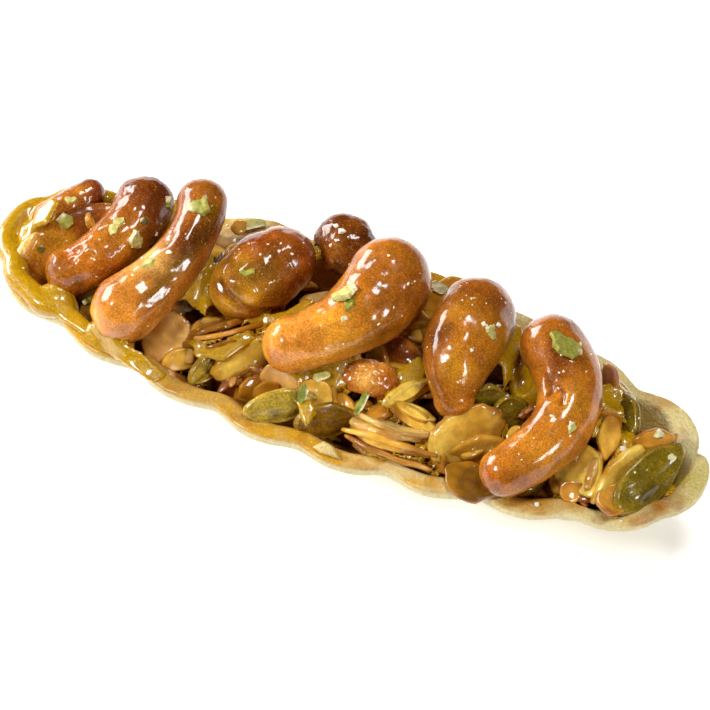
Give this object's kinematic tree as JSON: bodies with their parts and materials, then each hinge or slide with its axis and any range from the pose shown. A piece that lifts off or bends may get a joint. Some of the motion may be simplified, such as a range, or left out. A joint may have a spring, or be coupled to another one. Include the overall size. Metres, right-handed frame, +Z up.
{
  "type": "boat-shaped nut cookie",
  "caption": "Long narrow cookie: a fluted wafer boat heaped with caramel-coated cashews, almonds, sliced almonds and pumpkin seeds.",
  "frame": {"origin": "centre of the flat base, on the surface it rests on", "axes": "+X along the boat towards the end with the large pumpkin seed, +Y across it towards the side with the round dark nut, +Z up"},
  "size_m": [0.1, 0.0334, 0.0268],
  "materials": {
    "wafer": "dry pale golden baked wafer with caramel stains on the rim",
    "filling": "caramel-wet almond slices, green pumpkin seeds and sesame",
    "cashew_light": "roasted orange-brown nut under clear caramel gloss",
    "cashew_dark": "roasted brown nut under clear caramel gloss",
    "nut_half": "amber cut nut face with a pale top edge",
    "almond_skin": "dark reddish-brown skin under clear caramel gloss"
  },
  "bodies": {
    "root": {"wafer_shell": "wafer", "nut_filling": "filling", "cashew_left_tall": "cashew_light", "cashew_left_low": "cashew_dark", "nut_half_left": "nut_half", "almond_far_left": "almond_skin", "almond_dark": "almond_skin", "almond_back": "almond_skin", "cashew_middle": "cashew_light", "almond_right": "cashew_dark", "cashew_right": "cashew_dark", "nut_piece_front": "cashew_light", "nut_piece_under": "cashew_light"}
  },
  "joints": []
}
